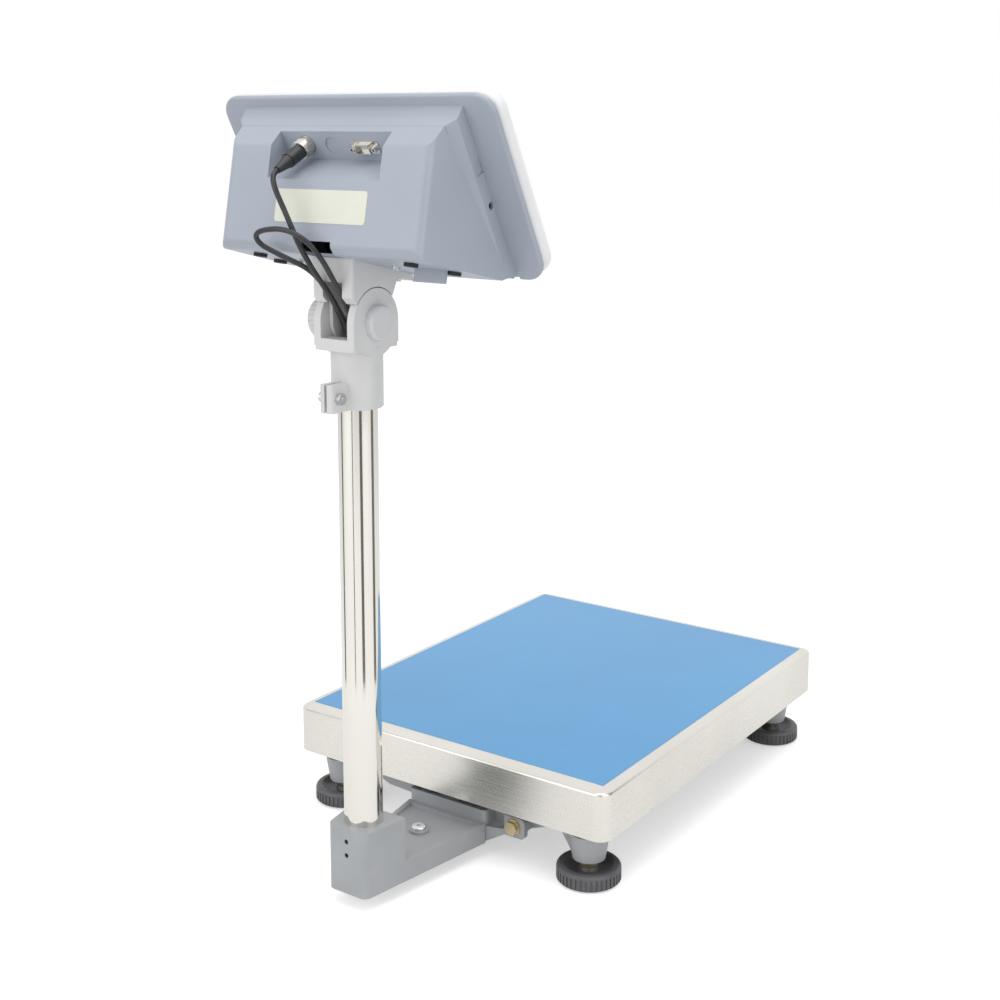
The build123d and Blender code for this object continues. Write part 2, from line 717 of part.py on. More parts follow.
# Tilt yoke: wedge shaped casting under the indicator, with two plates between the ears
flange_front = (column_y - 55, under_z(-55))
yoke_outline = [
    flange_front, (column_y + 33, under_z(33)), (column_y + 33, pivot_z + 25), (column_y + 27, pivot_z + 19),
    (column_y - 24, pivot_z + 23), (column_y - 32, under_z(-32) - flange_thick),
    (column_y - 55, under_z(-55) - flange_thick),
]
with BuildPart() as tilt_yoke:
    with BuildSketch(Plane.YZ):
        with BuildLine():
            Polyline(yoke_outline, close=True)
        make_face()
    extrude(amount=ear_outer, both=True)
    fillet(tilt_yoke.edges().filter_by(Axis.Z).group_by(Axis.Y)[-1], 3)
    with BuildSketch(Plane.YZ):
        with Locations((column_y, pivot_z)):
            Circle(ear_radius + 1)
    extrude(amount=ear_outer, both=True, mode=Mode.SUBTRACT)
    with BuildSketch(Plane.YZ):
        with Locations((column_y, pivot_z)):
            Circle(tongue_radius)
        with Locations((column_y, pivot_z + ear_radius / 2 + 1)):
            Rectangle(2 * tongue_radius, ear_radius + 6)
    extrude(amount=ear_inner - yoke_gap, both=True)
    with BuildSketch(Plane.YZ):
        with BuildLine():
            Polyline(
                (column_y - 21, pivot_z - 21), (column_y + 40, pivot_z - 21), (column_y + 40, pivot_z + 40),
                (column_y + 8, pivot_z + 34), (column_y - 21, pivot_z + 20), close=True,
            )
        make_face()
    extrude(amount=slot_half, both=True, mode=Mode.SUBTRACT)
    with BuildSketch(Plane.YZ):
        with Locations((column_y, pivot_z)):
            Circle(bolt_radius + 0.05)
    extrude(amount=ear_outer, both=True, mode=Mode.SUBTRACT)
    with BuildSketch(under_plane):
        with Locations(*yoke_screw_places):
            Circle(2.2)
    extrude(amount=-2 * flange_thick, mode=Mode.SUBTRACT)
save(tilt_yoke.part, "tilt_yoke")

# Tilt bolt, held in the right-hand ear by its hexagon head
with BuildPart() as tilt_bolt:
    with BuildSketch(Plane.YZ.offset(-ear_outer)):
        with Locations((column_y, pivot_z)):
            RegularPolygon(6.5, 6, major_radius=False)
    extrude(amount=-5.3)
    with BuildSketch(Plane.YZ.offset(-ear_outer)):
        with Locations((column_y, pivot_z)):
            Circle(bolt_radius)
    extrude(amount=ear_outer + knob_end - 6)
save(tilt_bolt.part, "tilt_bolt")

# Round cap over the bolt's head
with BuildPart() as ear_cap:
    with BuildSketch(Plane.YZ.offset(-ear_outer)):
        with Locations((column_y, pivot_z)):
            Circle(16.5)
    extrude(amount=-8)
    fillet(ear_cap.faces().sort_by(Axis.X)[0].edges(), 3)
    with BuildSketch(Plane.YZ.offset(-ear_outer)):
        with Locations((column_y, pivot_z)):
            Circle(8)
    extrude(amount=-5.6, mode=Mode.SUBTRACT)
save(ear_cap.part, "ear_cap")

# Tilt knob: ribbed hand knob, tapped for the bolt
with BuildPart() as tilt_knob:
    with BuildSketch(Plane.YZ.offset(ear_outer + 0.3)):
        with Locations((column_y, pivot_z)):
            Circle(11)
    extrude(amount=3)
    with BuildSketch(Plane.YZ.offset(ear_outer + 3)):
        with Locations((column_y, pivot_z)):
            Circle(19.75)
    extrude(amount=knob_end - ear_outer - 3)
    fillet(tilt_knob.faces().sort_by(Axis.X)[-1].edges(), 2)
    with BuildSketch(Plane.YZ.offset(ear_outer + 3)):
        with Locations((column_y, pivot_z)):
            with PolarLocations(20, 24):
                Circle(1.3)
    extrude(amount=knob_end - ear_outer - 3, mode=Mode.SUBTRACT)
    with BuildSketch(Plane.YZ.offset(ear_outer + 0.3)):
        with Locations((column_y, pivot_z)):
            Circle(bolt_radius + 0.05)
    extrude(amount=knob_end - ear_outer - 4, mode=Mode.SUBTRACT)
save(tilt_knob.part, "tilt_knob")

side_plane = Plane(origin=lean_point(0, 0, 0), x_dir=(0, lean_cos, -lean_sin), z_dir=(1, 0, 0))
rear_angle = atan2(70.4, 57)
rear_corner = (48, 69)


def rear_point(x, s, d=0):
    """World place of a point s down the rear face and d in front of it."""
    w = rear_corner[0] + s * cos(rear_angle) - d * sin(rear_angle)
    return lean_point(x, w, rear_corner[1] - s * sin(rear_angle) - d * cos(rear_angle))


rear_down = (Vector(*rear_point(0, 1)) - Vector(*rear_point(0, 0))).normalized()
rear_out = (Vector(*rear_point(0, 0, -1)) - Vector(*rear_point(0, 0))).normalized()
hump_outline = [(-1, 86), (0, 86), (12, 79), (48, 69), (105, -1.4), (104, -11), (24, -81.5), (0, -89), (-1, -89)]


hollow_outline = [(-10, 86)] + hump_outline[1:-1] + [(-10, -89)]


def hump_plan(inset, depth=160):
    """Plan of the hump square to its rear face: a trapezoid that widens to the front."""
    half = hump_half - inset
    return [(half, inset), (half + hump_draft * depth, depth), (-half - hump_draft * depth, depth), (-half, inset)]


def base_plan(inset, front):
    """Plan of the hump's base step, in X and w."""
    half = base_half - inset
    back = 24 - inset
    return [(half, front), (half, back - 8), (half - 8, back), (8 - half, back), (-half, back - 8), (-half, front)]


base_plane = Plane(origin=lean_point(0, 0, -100), x_dir=(1, 0, 0), z_dir=(0, lean_sin, lean_cos))
rear_plane = Plane(origin=rear_point(0, -20), x_dir=(1, 0, 0), z_dir=rear_down)

# Hump of the rear shell as a solid: side outline crossed with its plan
with BuildPart() as hump:
    with BuildSketch(side_plane) as hump_side:
        with BuildLine():
            Polyline(hump_outline, close=True)
        make_face()
        fillet(hump_side.vertices().filter_by(lambda corner: corner.X > 40), 7)
    extrude(amount=140, both=True)
    with BuildSketch(rear_plane) as hump_top:
        with BuildLine():
            Polyline(hump_plan(0), close=True)
        make_face()
        fillet(hump_top.vertices().group_by(Axis.Y)[0], 8)
    extrude(amount=240, mode=Mode.INTERSECT)

# Base step of the hump
with BuildPart() as hump_base:
    with BuildSketch(side_plane):
        with BuildLine():
            Polyline(hump_outline, close=True)
        make_face()
    extrude(amount=140, both=True)
    with BuildSketch(base_plane):
        with BuildLine():
            Polyline(base_plan(0, -1), close=True)
        make_face()
    extrude(amount=200, mode=Mode.INTERSECT)

# Hollow of the hump, drawn in by the wall, less the connector recess and its walls
with BuildPart() as hump_hollow:
    with BuildSketch(side_plane) as hollow_side:
        with BuildLine():
            Polyline(hollow_outline, close=True)
        make_face()
        offset(amount=-shell_wall, kind=Kind.INTERSECTION, mode=Mode.REPLACE)
        fillet(hollow_side.vertices().filter_by(lambda corner: corner.X > 40), 4)
    extrude(amount=140, both=True)
    with BuildSketch(rear_plane):
        with BuildLine():
            Polyline(hump_plan(shell_wall), close=True)
        make_face()
    extrude(amount=240, mode=Mode.INTERSECT)
    with BuildSketch(face_plane(110)):
        with Locations((0, recess_floor - shell_wall + 40)):
            Rectangle(2 * (recess_half + shell_wall), 80)
    extrude(amount=110 - recess_panel + shell_wall, mode=Mode.SUBTRACT)

# Hollow of the base step
with BuildPart() as base_hollow:
    with BuildSketch(side_plane):
        with BuildLine():
            Polyline(hollow_outline, close=True)
        make_face()
        offset(amount=-shell_wall, kind=Kind.INTERSECTION, mode=Mode.REPLACE)
    extrude(amount=140, both=True)
    with BuildSketch(base_plane):
        with BuildLine():
            Polyline(base_plan(shell_wall, -8), close=True)
        make_face()
    extrude(amount=200, mode=Mode.INTERSECT)

# Rear shell: rim, hump and base step in one moulding
with BuildPart() as rear_shell:
    with BuildSketch(face_plane(rim_half)):
        RectangleRounded(face_width, face_height, face_corner)
    extrude(amount=2 * rim_half)
    fillet(rear_shell.faces().sort_by(Axis.Y)[-1].edges(), 2.5)
    with BuildSketch(face_plane(rim_half - shell_wall)):
        RectangleRounded(face_width - 2 * shell_wall, face_height - 2 * shell_wall, face_corner - shell_wall)
    extrude(amount=shell_wall, mode=Mode.SUBTRACT)
    add(hump.part)
    add(hump_base.part)
    # Connector recess, open to the back and to the top
    with BuildSketch(face_plane(110)):
        with Locations((0, recess_floor + 40)):
            Rectangle(2 * recess_half, 80)
    extrude(amount=110 - recess_panel, mode=Mode.SUBTRACT)
    add(hump_hollow.part, mode=Mode.SUBTRACT)
    add(base_hollow.part, mode=Mode.SUBTRACT)
    # Cradle ribs that hold the battery
    with BuildSketch(side_plane.offset(-battery_half)):
        with BuildLine():
            Polyline(
                (battery_back, battery_top), (battery_back, battery_low), (10, battery_low), (10, -84.5),
                (24, -79), (80, -30), (80, -10), (battery_back + 4, battery_top), close=True,
            )
        make_face()
    extrude(amount=3)
    with BuildSketch(side_plane.offset(battery_half)):
        with BuildLine():
            Polyline(
                (battery_back, battery_top), (battery_back, battery_low), (10, battery_low), (10, -84.5),
                (24, -79), (80, -30), (80, -10), (battery_back + 4, battery_top), close=True,
            )
        make_face()
    extrude(amount=-3)
    # Holes in the recess panel for the round socket and the nine pin socket with its screws, and
    # a round knock-out between them
    with BuildSketch(face_plane(recess_panel)):
        with Locations((blank_x, blank_u)):
            Circle(8.5)
    extrude(amount=knock_out, mode=Mode.SUBTRACT)
    with BuildSketch(face_plane(recess_panel + 1)):
        with Locations((socket_x, socket_u)):
            Circle(8)
        with Locations((serial_x, serial_u)):
            RectangleRounded(19.5, 11, 3)
        with Locations((serial_x - 12.5, serial_u), (serial_x + 12.5, serial_u)):
            Circle(1.6)
    extrude(amount=shell_wall + 2, mode=Mode.SUBTRACT)
    # Right-hand wall: hole for the power jack and a rectangular knock-out
    with BuildSketch(side_plane.offset(-base_half)):
        with Locations((7, -13)):
            Circle(3.5)
    extrude(amount=shell_wall + 1, mode=Mode.SUBTRACT)
    with BuildSketch(side_plane.offset(-base_half)):
        with Locations((8, 26)):
            Rectangle(9, 14)
    extrude(amount=knock_out, mode=Mode.SUBTRACT)
    # Notch in the lower rear edge, and a slot in the rim's lower edge
    with BuildSketch(side_plane):
        with Locations((104, -9)):
            Rectangle(22, 22)
    extrude(amount=18, both=True, mode=Mode.SUBTRACT)
    with BuildSketch(face_plane(rim_half)):
        with Locations((-127, -face_height / 2 + 1.5)):
            Rectangle(9, 4)
    extrude(amount=2 * rim_half, mode=Mode.SUBTRACT)
    # Holes for the yoke screws and the case screws, and a hanging tab
    with BuildSketch(under_plane):
        with Locations(*yoke_screw_places):
            Circle(2)
        with Locations(*case_screw_places):
            Circle(2)
    extrude(amount=shell_wall + 3, mode=Mode.SUBTRACT)
    with BuildSketch(under_plane):
        with Locations(tab_place):
            Rectangle(36, 2.5)
    extrude(amount=-12)
save(rear_shell.part, "rear_shell")

# Front bezel: shallow white moulding with a window, six key holes and posts for the board
with BuildPart() as front_bezel:
    with BuildSketch(face_plane(-rim_half)):
        RectangleRounded(face_width, face_height, face_corner)
    extrude(amount=bezel_depth)
    fillet(front_bezel.faces().sort_by(Axis.Y)[0].edges(), 8)
    with BuildSketch(face_plane(-rim_half)):
        RectangleRounded(face_width - 2 * shell_wall, face_height - 2 * shell_wall, face_corner - shell_wall)
    extrude(amount=bezel_depth - bezel_front, mode=Mode.SUBTRACT)
    with BuildSketch(face_plane(-rim_half)):
        with Locations((0, window_u)):
            Rectangle(window_width - 10, window_height - 10)
        with Locations(*key_places):
            RectangleRounded(key_width + 0.6, key_height + 0.6, 3)
    extrude(amount=bezel_depth, mode=Mode.SUBTRACT)
    with BuildSketch(face_plane(bezel_face + 2)):
        with Locations((0, window_u)):
            RectangleRounded(window_width, window_height, 4)
    extrude(amount=2, mode=Mode.SUBTRACT)
    with BuildSketch(face_plane(board_front)):
        with Locations(*post_places):
            Circle(3.5)
    extrude(amount=board_front - bezel_face - bezel_front)
save(front_bezel.part, "front_bezel")

# Clear window, glued in its step
with BuildPart() as display_window:
    with BuildSketch(face_plane(bezel_face + 2)):
        with Locations((0, window_u)):
            RectangleRounded(window_width - 0.4, window_height - 0.4, 3.8)
    extrude(amount=1.8)
save(display_window.part, "display_window")

# Circuit board on the posts
with BuildPart() as circuit_board:
    with BuildSketch(face_plane(board_front + 1.6)):
        RectangleRounded(294, 164, 12)
    extrude(amount=1.6)
save(circuit_board.part, "circuit_board")

# Display module between board and window
with BuildPart() as lcd_module:
    with BuildSketch(face_plane(board_front)):
        with Locations((0, window_u)):
            Rectangle(window_width - 12, window_height - 12)
    extrude(amount=board_front - bezel_face - bezel_front - 0.5)
save(lcd_module.part, "lcd_module")

# Keys: caps in the bezel's holes, each with a flange behind the bezel
for number, (x, u) in enumerate(key_places, start=1):
    with BuildPart() as key:
        with BuildSketch(face_plane(bezel_face + bezel_front + 1.7)):
            with Locations((x, u)):
                RectangleRounded(key_width + 3, key_height + 3, 3)
        extrude(amount=1.4)
        with BuildSketch(face_plane(bezel_face + bezel_front + 1)):
            with Locations((x, u)):
                RectangleRounded(key_width, key_height, 2.7)
        extrude(amount=bezel_front + 2.2)
        fillet(key.faces().sort_by(Axis.Y)[0].edges(), 0.8)
    save(key.part, "key_" + str(number))

# Battery in its cradle
with BuildPart() as battery:
    with BuildSketch(face_plane(battery_back)):
        with Locations((0, (battery_top + battery_low) / 2)):
            Rectangle(2 * battery_half, battery_top - battery_low)
    extrude(amount=battery_back - battery_front)
save(battery.part, "battery")

# Round socket of the load cell's cable, in the recess panel
with BuildPart() as cell_socket:
    with BuildSketch(face_plane(recess_panel + 1.5)):
        with Locations((socket_x, socket_u)):
            Circle(9.5)
    extrude(amount=1.5)
    with BuildSketch(face_plane(recess_panel)):
        with Locations((socket_x, socket_u)):
            Circle(8)
    extrude(amount=18)
save(cell_socket.part, "cell_socket")

# Nine pin socket: flanged plate, shell and body
with BuildPart() as serial_socket:
    with BuildSketch(face_plane(recess_panel + 1)):
        with Locations((serial_x, serial_u)):
            RectangleRounded(31, 12.5, 2)
        with Locations((serial_x - 12.5, serial_u), (serial_x + 12.5, serial_u)):
            Circle(1.6, mode=Mode.SUBTRACT)
    extrude(amount=1)
    with BuildSketch(face_plane(recess_panel + 6)):
        with Locations((serial_x, serial_u)):
            Trapezoid(17.5, 8.4, 80)
    extrude(amount=5)
    with BuildSketch(face_plane(recess_panel + 6)):
        with Locations((serial_x, serial_u)):
            Trapezoid(16, 7, 80)
    extrude(amount=4, mode=Mode.SUBTRACT)
    with BuildSketch(face_plane(recess_panel)):
        with Locations((serial_x, serial_u)):
            RectangleRounded(19, 10, 2.8)
    extrude(amount=12)
save(serial_socket.part, "serial_socket")

# Jack screws of the nine pin socket
with BuildPart() as jack_screws:
    with BuildSketch(face_plane(recess_panel + 6)):
        with Locations((serial_x - 12.5, serial_u), (serial_x + 12.5, serial_u)):
            RegularPolygon(2.4, 6, major_radius=False)
    extrude(amount=5)
    with BuildSketch(face_plane(recess_panel + 6)):
        with Locations((serial_x - 12.5, serial_u), (serial_x + 12.5, serial_u)):
            Circle(1.2)
    extrude(amount=4, mode=Mode.SUBTRACT)
    with BuildSketch(face_plane(recess_panel + 1)):
        with Locations((serial_x - 12.5, serial_u), (serial_x + 12.5, serial_u)):
            Circle(1.55)
    extrude(amount=9)
save(jack_screws.part, "jack_screws")

# Power jack behind the hole in the right-hand wall
with BuildPart() as power_jack:
    with BuildSketch(side_plane.offset(-base_half + shell_wall)):
        with Locations((7, -13)):
            RectangleRounded(10, 10, 2)
    extrude(amount=12)
    with BuildSketch(side_plane.offset(-base_half + shell_wall)):
        with Locations((7, -13)):
            Circle(2.9)
            Circle(1, mode=Mode.SUBTRACT)
    extrude(amount=9, mode=Mode.SUBTRACT)
save(power_jack.part, "power_jack")

# Bare label plate on the rear face
label_plane = Plane(origin=rear_point(0, label_s), x_dir=(-1, 0, 0), z_dir=rear_out)
with BuildPart() as label_plate:
    with BuildSketch(label_plane):
        with Locations((-label_x, 0)):
            RectangleRounded(label_width, label_height, 3)
    extrude(amount=0.4)
save(label_plate.part, "label_plate")

# Rubber feet and screw heads under the hump
with BuildPart() as case_feet:
    with BuildSketch(under_plane):
        with Locations(*case_foot_places):
            Circle(6.5)
    extrude(amount=-3)
save(case_feet.part, "case_feet")
with BuildPart() as case_screws:
    with BuildSketch(under_plane):
        with Locations(*case_screw_places):
            Circle(4)
    extrude(amount=-2.6)
    with BuildSketch(under_plane):
        with Locations(*case_screw_places):
            Circle(2)
    extrude(amount=shell_wall + 2)
save(case_screws.part, "case_screws")

# Screws that hold the yoke to the shell, heads under the yoke's front flange
with BuildPart() as yoke_screws:
    with BuildSketch(under_plane.offset(-flange_thick)):
        with Locations(*yoke_screw_places):
            Circle(3.8)
    extrude(amount=-2.6)
    with BuildSketch(under_plane.offset(-flange_thick)):
        with Locations(*yoke_screw_places):
            Circle(2)
    extrude(amount=flange_thick + shell_wall + 2)
save(yoke_screws.part, "yoke_screws")

# Plug of the load cell's cable: nickel coupling ring, then body and boot
with BuildPart() as plug_nut:
    with BuildSketch(face_plane(plug_front + 12)):
        with Locations((socket_x, socket_u)):
            Circle(9.2)
    extrude(amount=12)
    with BuildSketch(face_plane(plug_front + 12)):
        with Locations((socket_x, socket_u)):
            with PolarLocations(9.4, 28):
                Circle(0.5)
    extrude(amount=9, mode=Mode.SUBTRACT)
    with BuildSketch(face_plane(plug_front + 12)):
        with Locations((socket_x, socket_u)):
            Circle(7.1)
    extrude(amount=12, mode=Mode.SUBTRACT)
save(plug_nut.part, "plug_nut")
with BuildPart() as plug_body:
    with BuildSketch(Plane(origin=lean_point(socket_x, plug_front, socket_u), x_dir=(1, 0, 0), z_dir=rear_axis)):
        Circle(7.1)
    extrude(amount=29)
    with BuildSketch(plug_body.faces().sort_by(Axis.Y)[-1]):
        Circle(6.4)
    with BuildSketch(Plane(origin=lean_point(socket_x, plug_end, socket_u), x_dir=(1, 0, 0), z_dir=rear_axis)):
        Circle(3.6)
    loft()
save(plug_body.part, "plug_body")


def from_pivot(x, y, z):
    """World place of a point given from the tilt pivot."""
    return Vector(x, column_y + y, pivot_z + z)


def cord_radii(points):
    """Bend radius at each corner of a cord's route: as large as the two runs allow."""
    radii = []
    for before, corner, after in zip(points, points[1:], points[2:]):
        turn = (corner - before).get_angle(after - corner)
        run = min((corner - before).length, (after - corner).length)
        radii.append(0.45 * run / tan(radians(turn / 2)))
    return radii


# Cable from the plug: down into the clevis and the tube, back up, once over in a loose loop and
# down into the tube on its axis
cable_start = Vector(*lean_point(socket_x, plug_end, socket_u))
cable_route = [
    cable_start, cable_start + Vector(*rear_axis) * 7,
    from_pivot(33.6, 71, 127), from_pivot(28.5, 70.5, 116), from_pivot(22.5, 69, 103.5), from_pivot(15.5, 67.5, 88),
    from_pivot(9.5, 65, 73), from_pivot(7.6, 54.5, 56), from_pivot(4.4, 42, 38), from_pivot(2.6, 28, 20),
    from_pivot(2, 14, 1), from_pivot(1, 10, -17), from_pivot(1.4, 9.6, -36), from_pivot(2, 6, -50),
    from_pivot(6, -4, -50), from_pivot(7, -7, -36), from_pivot(8.4, 2, -15), from_pivot(8.6, 9.5, 1),
    from_pivot(8.4, 20, 16), from_pivot(8.1, 30.5, 30), from_pivot(10, 40, 42), from_pivot(18, 47, 52),
    from_pivot(29, 55, 58.5), from_pivot(43, 62, 66), from_pivot(53, 68, 72), from_pivot(55.5, 73, 79),
    from_pivot(50, 76.5, 84.5), from_pivot(38, 78, 87.5), from_pivot(20, 77.5, 89), from_pivot(4, 74, 84.5),
    from_pivot(-6, 66, 74), from_pivot(-9.4, 54, 58), from_pivot(-9, 41, 41), from_pivot(-8.4, 26, 21),
    from_pivot(-7, 13, 2), from_pivot(-6, 7.6, -16), from_pivot(-5.6, 0, -36), from_pivot(-2, -1.5, -58),
    from_pivot(0, 0, -78),
]
cable_radii = cord_radii(cable_route)
print("indicator cable radii", [round(radius, 1) for radius in cable_radii])
with BuildPart() as indicator_cable:
    with BuildLine() as cable_line:
        FilletPolyline(*cable_route, radius=cable_radii)
    with BuildSketch(Plane(origin=cable_route[0], z_dir=cable_route[1] - cable_route[0])):
        Circle(cable_radius)
    sweep()
cable_length = sum(edge.length for edge in cable_line.edges())
print("indicator cable length", round(cable_length, 1), "volume ratio",
      round(indicator_cable.part.volume / (pi * cable_radius**2 * cable_length), 4))
save(indicator_cable.part, "indicator_cable")

# The rest of the cable: down the column, through the arm and up to the load cell
cell_cable_route = [
    Vector(0, column_y, pivot_z - 78.3), Vector(0, column_y, cable_low + 4), Vector(-15, pan_y + 325, cable_low),
    Vector(-15, pan_y + 255, cable_low), Vector(0, pan_y + 184, cable_low), Vector(0, pan_y + 184, cell_bottom + 19),
    Vector(0, pan_y + cell_length / 2, cell_bottom + 19),
]
with BuildPart() as cell_cable:
    with BuildLine() as cell_cable_line:
        FilletPolyline(*cell_cable_route, radius=[9, 15, 30, 9, 12])
    with BuildSketch(Plane(origin=cell_cable_route[0], z_dir=(0, 0, -1))):
        Circle(cable_radius)
    sweep()
cell_cable_length = sum(edge.length for edge in cell_cable_line.edges())
print("cell cable length", round(cell_cable_length, 1), "volume ratio",
      round(cell_cable.part.volume / (pi * cable_radius**2 * cell_cable_length), 4))
save(cell_cable.part, "cell_cable")
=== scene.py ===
# %% [markdown]
# # A platform scale, seen from its back corner
# The scale has a stainless weighing pan on a cast frame with four levelling feet. A casting at
# the back carries a polished column, and on top of the column a tilting head holds the
# indicator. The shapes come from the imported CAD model, which this lesson loads and never moves.
# Here the model gets its finishes, its cable, its film, a floor, lamps and a camera.

# %% Load the model and note its box
import json
from math import cos, radians, sin

import bpy
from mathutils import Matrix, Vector


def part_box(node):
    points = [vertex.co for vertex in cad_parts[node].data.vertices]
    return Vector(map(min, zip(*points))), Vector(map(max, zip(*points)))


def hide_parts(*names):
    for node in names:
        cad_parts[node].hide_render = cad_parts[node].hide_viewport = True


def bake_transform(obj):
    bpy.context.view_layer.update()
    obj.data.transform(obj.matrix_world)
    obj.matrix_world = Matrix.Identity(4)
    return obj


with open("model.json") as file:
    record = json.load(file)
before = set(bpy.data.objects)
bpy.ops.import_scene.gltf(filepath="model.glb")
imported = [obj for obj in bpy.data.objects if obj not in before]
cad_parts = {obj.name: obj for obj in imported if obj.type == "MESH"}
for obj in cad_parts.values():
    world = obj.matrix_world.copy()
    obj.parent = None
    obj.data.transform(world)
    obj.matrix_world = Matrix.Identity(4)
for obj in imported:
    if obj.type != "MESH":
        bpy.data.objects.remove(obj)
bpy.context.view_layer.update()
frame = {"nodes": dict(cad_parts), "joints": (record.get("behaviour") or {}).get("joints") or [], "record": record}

# %% [markdown]
# A few places on the scale are needed again and again, so they are read from the model once: the
# box of the column's tube, and the tilt pivot above it, about which the indicator leans.

# %% Places taken from the model
tube_low, tube_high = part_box("column_tube")
joints = {joint["name"]: joint for joint in frame["joints"]}
pivot = Vector(joints["indicator_tilt"]["pos_m"])
mm = 0.001
print("pivot", [round(v, 4) for v in pivot])

# %% [markdown]
# The picture was taken from behind the column, slightly above the indicator. A long lens keeps
# the column's sides parallel, and a small shift of the lens lowers the frame, which keeps the
# camera nearly level, as a product photographer would do it.

# %% Camera at the photograph's viewing angle
camera_place = Vector((-0.8954, 1.4232 - 0.0898, 0.6435 + 0.111))
camera_yaw = 0.6096
camera_pitch = 0.1505
looking = Vector((
    sin(camera_yaw) * cos(camera_pitch), -cos(camera_yaw) * cos(camera_pitch), -sin(camera_pitch)))
camera_data = bpy.data.cameras.new("camera")
camera_data.lens = 53.63
camera_data.shift_y = -0.15
camera = bpy.data.objects.new("camera", camera_data)
camera.location = camera_place
camera.rotation_euler = looking.to_track_quat("-Z", "Y").to_euler()
bpy.context.scene.collection.objects.link(camera)
bpy.context.scene.camera = camera
bpy.context.scene.view_settings.view_transform = "Standard"
print("camera at", [round(v, 3) for v in camera_place])

# %% [markdown]
# ## The cable
# One thin black cable leaves the plug in the indicator, drops into the clevis, turns back inside
# the column, rises again in a loose loop and goes down into the tube on its axis. It is a NURBS
# line through control points, given as places from the tilt pivot in millimetres.
# A curve would do for a picture; here the line is turned into a mesh tube.

# %% Route of the cable
rear_axis = Vector((0, cos(radians(28)), -sin(radians(28))))
cable_start = Vector((38.5, 60.793, 139.859))
cable_route = [
    cable_start, cable_start + rear_axis * 7,
    Vector((33.6, 71, 127)), Vector((28.5, 70.5, 116)), Vector((22.5, 69, 103.5)), Vector((15.5, 67.5, 88)),
    Vector((9.5, 65, 73)), Vector((7.6, 54.5, 56)), Vector((4.4, 42, 38)), Vector((2.6, 28, 20)),
    Vector((2, 14, 1)), Vector((1, 10, -17)), Vector((1.4, 9.6, -36)), Vector((2, 6, -50)),
    Vector((6, -4, -50)), Vector((7, -7, -36)), Vector((8.4, 2, -15)), Vector((8.6, 9.5, 1)),
    Vector((8.4, 20, 16)), Vector((8.1, 30.5, 30)), Vector((10, 40, 42)), Vector((18, 47, 52)),
    Vector((29, 55, 58.5)), Vector((43, 62, 66)), Vector((53, 68, 72)), Vector((55.5, 73, 79)),
    Vector((50, 76.5, 84.5)), Vector((38, 78, 87.5)), Vector((20, 77.5, 89)), Vector((4, 74, 84.5)),
    Vector((-6, 66, 74)), Vector((-9.4, 54, 58)), Vector((-9, 41, 41)), Vector((-8.4, 26, 21)),
    Vector((-7, 13, 2)), Vector((-6, 7.6, -16)), Vector((-5.6, 0, -36)), Vector((-2, -1.5, -58)),
    Vector((0, 0, -78)),
]
cable_points = [pivot + point * mm for point in cable_route]
cable_curve = bpy.data.curves.new("cable_line", "CURVE")
cable_curve.dimensions = "3D"
cable_curve.resolution_u = 8
cable_spline = cable_curve.splines.new("NURBS")
cable_spline.points.add(len(cable_points) - 1)
for control, point in zip(cable_spline.points, cable_points):
    control.co = (*point, 1)
cable_spline.order_u = 3
cable_spline.use_endpoint_u = True
cable_line = bpy.data.objects.new("cable_line", cable_curve)
bpy.context.scene.collection.objects.link(cable_line)
bpy.context.view_layer.update()
print("cable route with", len(cable_points), "control points")

# %% [markdown]
# The real cable is a round rubber sheath, five millimetres thick. The line is first read without
# any thickness, as a bare line mesh that nothing further uses, and then again with a round bevel,
# which gives the sheath.

# %% Tube along that line
line_mesh = bpy.data.meshes.new_from_object(cable_line)
cable_curve.bevel_depth = 2.5 * mm
cable_curve.bevel_resolution = 5
cable_curve.use_fill_caps = True
bpy.context.view_layer.update()
cable = bpy.data.objects.new("cable", bpy.data.meshes.new_from_object(cable_line))
bpy.context.scene.collection.objects.link(cable)
bpy.data.objects.remove(cable_line)
cable.data.shade_smooth()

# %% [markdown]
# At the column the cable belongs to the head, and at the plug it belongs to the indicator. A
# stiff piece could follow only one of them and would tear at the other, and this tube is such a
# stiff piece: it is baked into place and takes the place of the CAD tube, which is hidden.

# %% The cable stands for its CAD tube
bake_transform(cable)
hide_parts("indicator_cable")

# %% [markdown]
# ## Shared effects
# Mouldings, castings and rolled steel all have small variations that a flat colour lacks. Two
# node groups give them: a fine grain with a soft mottle, and long brush strokes. Each is built
# once and used with other values in every material. The first comes from plain noise, which
# suits surfaces that have no direction.

# %% Node group: grain and mottle
def new_group(name, inputs, outputs):
    """An empty shader node group with named value inputs and outputs."""
    group = bpy.data.node_groups.new(name, "ShaderNodeTree")
    for label, default in inputs:
        socket = group.interface.new_socket(label, in_out="INPUT", socket_type="NodeSocketFloat")
        socket.default_value = default
    for label in outputs:
        group.interface.new_socket(label, in_out="OUTPUT", socket_type="NodeSocketFloat")
    return group, group.nodes.new("NodeGroupInput"), group.nodes.new("NodeGroupOutput")


